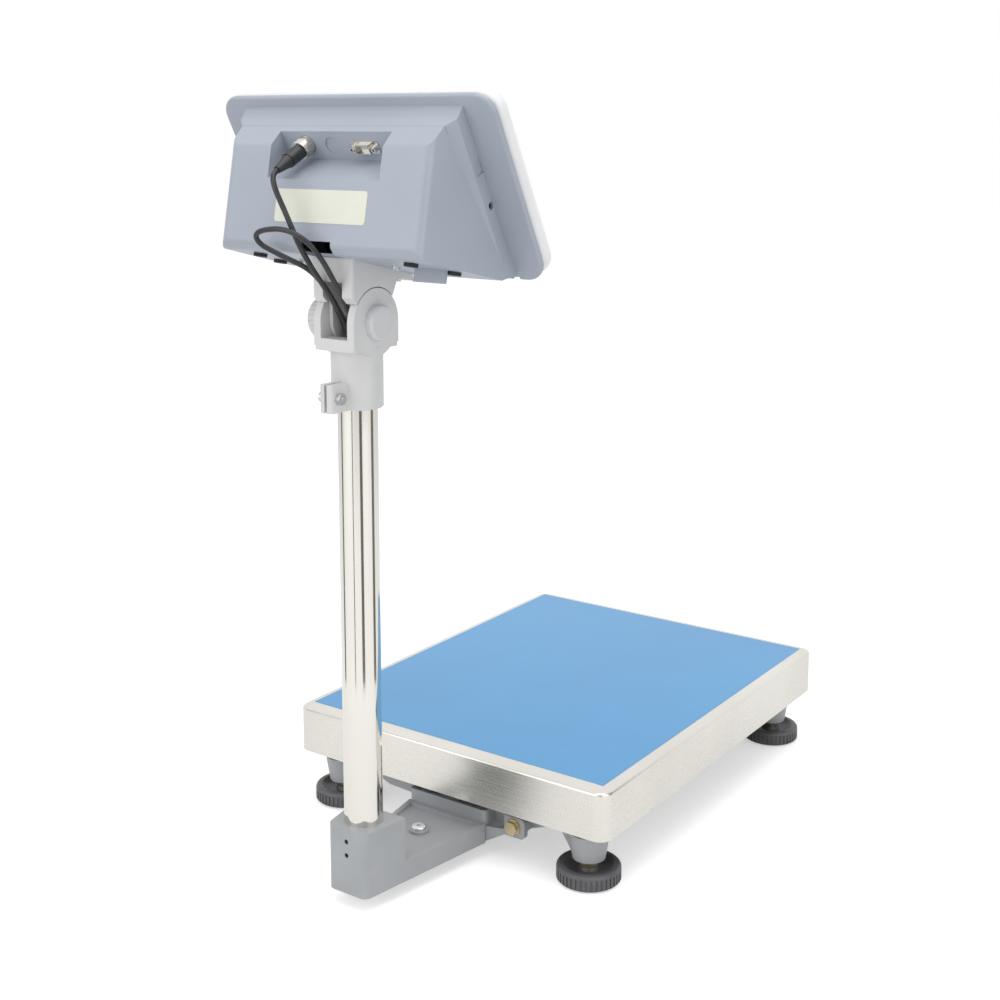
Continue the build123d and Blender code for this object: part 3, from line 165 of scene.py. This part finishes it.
grain_group, grain_in, grain_out = new_group(
    "grain_and_mottle", [("Grain Scale", 900.0), ("Mottle Scale", 14.0)], ["Grain", "Mottle"])
grain_place = grain_group.nodes.new("ShaderNodeTexCoord")
for label, detail in (("Grain", 2.0), ("Mottle", 4.0)):
    noise = grain_group.nodes.new("ShaderNodeTexNoise")
    noise.inputs["Detail"].default_value = detail
    grain_group.links.new(grain_place.outputs["Object"], noise.inputs["Vector"])
    grain_group.links.new(grain_in.outputs[label + " Scale"], noise.inputs["Scale"])
    grain_group.links.new(noise.outputs["Fac"], grain_out.inputs[label])
print("node group", grain_group.name)

# %% [markdown]
# Rolled or turned steel has fine scratches that all run one way. Noise that is squeezed hard in
# height and left long in the level directions gives such strokes without any image. A second,
# slow noise clouds the metal's colour, because a real sheet is never even.

# %% Node group: brush strokes along one direction
brush_group, brush_in, brush_out = new_group(
    "brush_strokes", [("Across", 900.0), ("Along", 6.0)], ["Strokes", "Cloud"])
brush_place = brush_group.nodes.new("ShaderNodeTexCoord")
brush_size = brush_group.nodes.new("ShaderNodeCombineXYZ")
brush_group.links.new(brush_in.outputs["Along"], brush_size.inputs["X"])
brush_group.links.new(brush_in.outputs["Along"], brush_size.inputs["Y"])
brush_group.links.new(brush_in.outputs["Across"], brush_size.inputs["Z"])
brush_stretch = brush_group.nodes.new("ShaderNodeVectorMath")
brush_stretch.operation = "MULTIPLY"
brush_group.links.new(brush_place.outputs["Object"], brush_stretch.inputs[0])
brush_group.links.new(brush_size.outputs["Vector"], brush_stretch.inputs[1])
brush_noise = brush_group.nodes.new("ShaderNodeTexNoise")
brush_noise.inputs["Scale"].default_value = 1.0
brush_noise.inputs["Detail"].default_value = 3.0
brush_group.links.new(brush_stretch.outputs["Vector"], brush_noise.inputs["Vector"])
brush_group.links.new(brush_noise.outputs["Fac"], brush_out.inputs["Strokes"])
brush_cloud = brush_group.nodes.new("ShaderNodeTexNoise")
brush_cloud.inputs["Scale"].default_value = 7.0
brush_group.links.new(brush_place.outputs["Object"], brush_cloud.inputs["Vector"])
brush_group.links.new(brush_cloud.outputs["Fac"], brush_out.inputs["Cloud"])
print("node group", brush_group.name)

# %% [markdown]
# ## Finishes
# Painted castings, moulded plastic and rubber share one recipe: a base colour that drifts a
# little with the mottle, a roughness that drifts with it, and a bump from the grain. Their
# metallic value, coat and colours stay on the shader itself.

# %% Recipe for painted, moulded and rubber surfaces
def ramp(nodes, links, value, low, high, position=(0.3, 0.7)):
    """A colour ramp from low to high, driven by a value."""
    colours = nodes.new("ShaderNodeValToRGB")
    colours.color_ramp.elements[0].position, colours.color_ramp.elements[1].position = position
    colours.color_ramp.elements[0].color = (*low, 1)
    colours.color_ramp.elements[1].color = (*high, 1)
    links.new(value, colours.inputs["Fac"])
    return colours.outputs["Color"]


def spread(nodes, links, value, low, high):
    """A value drawn into the range from low to high."""
    mapped = nodes.new("ShaderNodeMapRange")
    mapped.inputs["From Min"].default_value = 0.3
    mapped.inputs["From Max"].default_value = 0.7
    mapped.inputs["To Min"].default_value = low
    mapped.inputs["To Max"].default_value = high
    links.new(value, mapped.inputs["Value"])
    return mapped.outputs["Result"]


def bump(nodes, links, height, strength, distance):
    """A bump from a height value, given to a normal socket."""
    node = nodes.new("ShaderNodeBump")
    node.inputs["Strength"].default_value = strength
    node.inputs["Distance"].default_value = distance
    links.new(height, node.inputs["Height"])
    return node.outputs["Normal"]


def start_material(name):
    """A material with its nodes and its shader."""
    material = bpy.data.materials.new(name)
    material.use_nodes = True
    nodes = material.node_tree.nodes
    return material, nodes, material.node_tree.links, nodes["Principled BSDF"]


def grained(name, low, high, rough, grain_scale=900.0, mottle_scale=14.0, relief=0.15, depth=0.0002):
    """Paint, moulded plastic or rubber: two close colours, a roughness range and a fine relief."""
    material, nodes, links, shader = start_material(name)
    effect = nodes.new("ShaderNodeGroup")
    effect.node_tree = grain_group
    effect.inputs["Grain Scale"].default_value = grain_scale
    effect.inputs["Mottle Scale"].default_value = mottle_scale
    links.new(ramp(nodes, links, effect.outputs["Mottle"], low, high), shader.inputs["Base Color"])
    links.new(spread(nodes, links, effect.outputs["Mottle"], *rough), shader.inputs["Roughness"])
    links.new(bump(nodes, links, effect.outputs["Grain"], relief, depth), shader.inputs["Normal"])
    return material


# %% [markdown]
# Bare metal has no paint to give it a colour: its tone is what it reflects. So the same strokes
# drive its roughness and a shallow bump, and the metallic value is full. A polished tube and a
# brushed pan then differ only in their numbers, which is how the two finishes differ in a shop.

# %% Recipe for brushed and polished metal
def brushed(name, low, high, rough, across=900.0, along=6.0, relief=0.1, depth=0.0001):
    """Metal with strokes that run level round the piece."""
    material, nodes, links, shader = start_material(name)
    effect = nodes.new("ShaderNodeGroup")
    effect.node_tree = brush_group
    effect.inputs["Across"].default_value = across
    effect.inputs["Along"].default_value = along
    links.new(ramp(nodes, links, effect.outputs["Cloud"], low, high), shader.inputs["Base Color"])
    links.new(spread(nodes, links, effect.outputs["Strokes"], *rough), shader.inputs["Roughness"])
    links.new(bump(nodes, links, effect.outputs["Strokes"], relief, depth), shader.inputs["Normal"])
    shader.inputs["Metallic"].default_value = 1.0
    return material


# %% [markdown]
# The scale mixes about twenty finishes: bare and plated metals, painted castings, moulded
# plastics and rubber. Each line gives a darker and a lighter colour, a range of roughness, and
# where it matters the fineness and the depth of the relief. One table of them is easier to
# compare and to correct than twenty separate materials.

# %% The finishes of this scale
finishes = {
    "stainless": brushed(
        "stainless", (0.72, 0.70, 0.65), (0.80, 0.78, 0.73), (0.22, 0.34), 1500.0, 5.0, 0.05),
    "polished_tube": brushed(
        "polished_tube", (0.76, 0.74, 0.69), (0.82, 0.80, 0.75), (0.06, 0.12), 1500.0, 3.0, 0.015),
    "zinc": brushed("zinc", (0.62, 0.63, 0.65), (0.72, 0.73, 0.75), (0.22, 0.38), 300.0, 60.0),
    "nickel": brushed("nickel", (0.58, 0.56, 0.52), (0.68, 0.66, 0.62), (0.16, 0.30), 500.0, 80.0),
    "yellow_zinc": brushed("yellow_zinc", (0.58, 0.46, 0.24), (0.74, 0.64, 0.42), (0.22, 0.40), 300.0, 60.0),
    "cell_aluminium": brushed("cell_aluminium", (0.60, 0.61, 0.62), (0.70, 0.71, 0.72), (0.30, 0.45)),
    "grey_casting": grained(
        "grey_casting", (0.36, 0.375, 0.39), (0.41, 0.425, 0.44), (0.34, 0.48), 520.0, 22.0, 0.3, 0.0003),
    "top_frame_steel": grained(
        "top_frame_steel", (0.14, 0.145, 0.15), (0.17, 0.175, 0.18), (0.45, 0.60)),
    "head_paint": grained(
        "head_paint", (0.64, 0.64, 0.64), (0.69, 0.69, 0.69), (0.32, 0.44), 620.0, 18.0, 0.15, 0.0003),
    "knob_plastic": grained(
        "knob_plastic", (0.63, 0.63, 0.64), (0.68, 0.68, 0.69), (0.36, 0.48), 800.0, 20.0, 0.1),
    "shell_grey": grained(
        "shell_grey", (0.36, 0.40, 0.465), (0.39, 0.43, 0.495), (0.30, 0.40), 1100.0, 9.0, 0.1, 0.0002),
    "bezel_white": grained(
        "bezel_white", (0.82, 0.83, 0.84), (0.87, 0.88, 0.89), (0.28, 0.38), 1200.0, 8.0, 0.05, 0.0001),
    "foot_plastic": grained(
        "foot_plastic", (0.085, 0.082, 0.088), (0.13, 0.126, 0.134), (0.36, 0.52), 420.0, 40.0, 0.3, 0.0003),
    "rubber": grained(
        "rubber", (0.016, 0.016, 0.017), (0.028, 0.028, 0.030), (0.65, 0.85), 500.0, 30.0, 0.3, 0.0003),
    "cable_black": grained(
        "cable_black", (0.018, 0.018, 0.020), (0.034, 0.034, 0.038), (0.34, 0.50), 700.0, 40.0, 0.1),
    "black_plastic": grained(
        "black_plastic", (0.014, 0.014, 0.015), (0.026, 0.026, 0.028), (0.30, 0.45), 900.0, 25.0),
    "key_grey": grained("key_grey", (0.10, 0.13, 0.18), (0.13, 0.16, 0.21), (0.45, 0.60), 700.0, 20.0),
    "board": grained("board", (0.012, 0.11, 0.035), (0.02, 0.15, 0.05), (0.25, 0.40), 300.0, 60.0),
    "label_cream": grained(
        "label_cream", (0.70, 0.72, 0.62), (0.74, 0.76, 0.66), (0.35, 0.48), 900.0, 30.0, 0.05),
}
print(len(finishes), "finishes from the two recipes")

# %% [markdown]
# The film on the pan is a thin sheet of blue plastic, pressed on by hand. It is glossy, so its
# far end pales towards the horizon, and it is not quite flat: wide shallow swells catch the
# light. The window over the display is dark, clear plastic.

# %% Film and window
film, film_nodes, film_links, film_shader = start_material("film")
film_effect = film_nodes.new("ShaderNodeGroup")
film_effect.node_tree = grain_group
film_effect.inputs["Grain Scale"].default_value = 26.0
film_effect.inputs["Mottle Scale"].default_value = 5.0
film_mottle, film_swells = film_effect.outputs["Mottle"], film_effect.outputs["Grain"]
film_links.new(ramp(film_nodes, film_links, film_mottle, (0.05, 0.31, 0.64), (0.065, 0.345, 0.69)),
               film_shader.inputs["Base Color"])
film_links.new(spread(film_nodes, film_links, film_mottle, 0.18, 0.28), film_shader.inputs["Roughness"])
film_links.new(bump(film_nodes, film_links, film_swells, 0.08, 0.002), film_shader.inputs["Normal"])
film_shader.inputs["IOR"].default_value = 1.62
finishes["film"] = film

window, window_nodes, window_links, window_shader = start_material("window_dark")
window_effect = window_nodes.new("ShaderNodeGroup")
window_effect.node_tree = grain_group
window_effect.inputs["Mottle Scale"].default_value = 6.0
window_mottle = window_effect.outputs["Mottle"]
window_links.new(spread(window_nodes, window_links, window_mottle, 0.05, 0.10),
                 window_shader.inputs["Roughness"])
window_links.new(ramp(window_nodes, window_links, window_mottle, (0.05, 0.07, 0.07), (0.06, 0.08, 0.08)),
                 window_shader.inputs["Base Color"])
window_shader.inputs["Alpha"].default_value = 0.7
finishes["window_dark"] = window
print("film and window made")

# %% [markdown]
# On the real scale a piece's finish follows from what it is made of. The CAD record already
# names a material slot for every node, so the finishes are handed out by that name. No piece can
# be forgotten, and a piece that changes its slot changes its look with it.

# %% Give every CAD node the finish of its slot
slot_of = {part["node"]: part["material_slot"] for part in frame["record"]["subparts"]}
for name, node in frame["nodes"].items():
    node.data.materials.clear()
    node.data.materials.append(finishes[slot_of[name]])
cable.data.materials.append(finishes["cable_black"])
print(len(finishes), "finishes on", len(frame["nodes"]), "nodes")

# %% [markdown]
# ## Floor, lamps and white surroundings
# The scale stands on a plain pale floor in a white room. The world is white to the camera and to
# reflections, and dimmer as a light, so pale paint doesn't clip. More light could whiten the
# background too, but it would wash out the object.

# %% World
world = bpy.data.worlds.new("white_room")
bpy.context.scene.world = world
world.use_nodes = True
world_nodes, world_links = world.node_tree.nodes, world.node_tree.links
world_paths = world_nodes.new("ShaderNodeLightPath")
seen = world_nodes.new("ShaderNodeMath")
seen.operation = "MAXIMUM"
world_links.new(world_paths.outputs["Is Camera Ray"], seen.inputs[0])
world_links.new(world_paths.outputs["Is Transmission Ray"], seen.inputs[1])
mirrored = world_nodes.new("ShaderNodeMath")
mirrored.operation = "MAXIMUM"
world_links.new(seen.outputs["Value"], mirrored.inputs[0])
world_links.new(world_paths.outputs["Is Glossy Ray"], mirrored.inputs[1])
strength = world_nodes.new("ShaderNodeMapRange")
strength.inputs["To Min"].default_value = 0.62
strength.inputs["To Max"].default_value = 1.0
world_links.new(mirrored.outputs["Value"], strength.inputs["Value"])
world_nodes["Background"].inputs["Color"].default_value = (1, 1, 1, 1)
world_links.new(strength.outputs["Result"], world_nodes["Background"].inputs["Strength"])
print("world light", strength.inputs["To Min"].default_value)

# %% [markdown]
# The floor is one large matt plane, a hair below the soles so that the two don't flicker. A
# little glow that only the camera sees brings it up to the white of the room, and it still takes
# the object's shadow, which shows where the feet stand. Reflections get a part of that glow,
# because the steel would clip to white with all of it.

# %% Floor
bpy.ops.object.select_all(action="DESELECT")
bpy.ops.mesh.primitive_plane_add(size=12, location=(0, 0, -0.0002))
floor = bpy.context.object
floor.name = "floor"
floor_material, floor_nodes, floor_links, floor_shader = start_material("pale_floor")
floor_shader.inputs["Base Color"].default_value = (0.90, 0.90, 0.90, 1)
floor_shader.inputs["Roughness"].default_value = 0.9
floor_shader.inputs["Specular IOR Level"].default_value = 0.0
floor_paths = floor_nodes.new("ShaderNodeLightPath")
floor_seen = floor_nodes.new("ShaderNodeMath")
floor_seen.operation = "MULTIPLY_ADD"
floor_links.new(floor_paths.outputs["Is Glossy Ray"], floor_seen.inputs[0])
floor_seen.inputs[1].default_value = 0.3
floor_links.new(floor_paths.outputs["Is Camera Ray"], floor_seen.inputs[2])
floor_glow = floor_nodes.new("ShaderNodeMath")
floor_glow.operation = "MULTIPLY"
floor_glow.inputs[1].default_value = 0.48
floor_links.new(floor_seen.outputs["Value"], floor_glow.inputs[0])
floor_shader.inputs["Emission Color"].default_value = (1, 1, 1, 1)
floor_links.new(floor_glow.outputs["Value"], floor_shader.inputs["Emission Strength"])
floor.data.materials.append(floor_material)
print("floor glow", floor_glow.inputs[1].default_value)

# %% [markdown]
# Three large soft lamps give the shapes some direction: one behind the column, on the side that
# the camera looks at, one above, and a weak one at the left. Large lamps far away throw soft
# shadows, as the panels of a product studio do. Brighter lamps would turn the label and the
# steel skirt plain white, so their power stops short of that.

# %% Lamps
def soft_lamp(name, place, aim, size, watts):
    """A square area lamp that looks at a point."""
    data = bpy.data.lights.new(name, "AREA")
    data.size = size
    data.energy = watts
    lamp = bpy.data.objects.new(name, data)
    lamp.location = place
    lamp.rotation_euler = (Vector(aim) - Vector(place)).to_track_quat("-Z", "Y").to_euler()
    bpy.context.scene.collection.objects.link(lamp)
    print(name, watts, "W")


soft_lamp("lamp_back", (0.8, 2.6, 1.3), (0, 0.2, 0.4), 2.0, 18)
soft_lamp("lamp_over", (-0.4, 0.4, 2.4), (0, 0, 0.2), 1.8, 20)
soft_lamp("lamp_side", (-2.4, 0.6, 1.0), (0, 0, 0.4), 1.4, 8)

# %% [markdown]
# Polished steel looks like its surroundings, and a tube in an all-white room looks like paper.
# A photographer stands dark boards beside it, and they show on the tube as upright stripes.
# These boards only show in reflections: they cast no shadow and the camera doesn't see them.

# %% Dark boards for the tube
board_material, board_nodes, board_links, board_shader = start_material("dark_board")
board_shader.inputs["Base Color"].default_value = (0.20, 0.19, 0.17, 1)
board_shader.inputs["Roughness"].default_value = 0.9
tube_axis = Vector(((tube_low.x + tube_high.x) / 2, (tube_low.y + tube_high.y) / 2, 0))
camera_bearing = (camera_place - tube_axis).to_2d().angle_signed(Vector((0, 1)))
board_distance, board_middle, board_height = 0.6, 0.7, 1.4
board_turns_and_widths = ((14, 0.16), (-34, 0.05), (86, 0.19), (-104, 0.12))
for number, (turn, width) in enumerate(board_turns_and_widths):
    bearing = camera_bearing + radians(turn)
    away = Vector((-sin(bearing), cos(bearing), 0))
    board_place = tube_axis + away * board_distance + Vector((0, 0, board_middle))
    bpy.ops.object.select_all(action="DESELECT")
    bpy.ops.mesh.primitive_plane_add(size=1, location=board_place)
    board = bpy.context.object
    board.name = f"dark_board_{number}"
    board.rotation_euler = (-away).to_track_quat("Z", "Y").to_euler()
    board.scale = (width, board_height, 1)
    board.data.materials.append(board_material)
    board.visible_camera = False
    board.visible_diffuse = False
    board.visible_shadow = False
print(len(board_turns_and_widths), "dark boards")
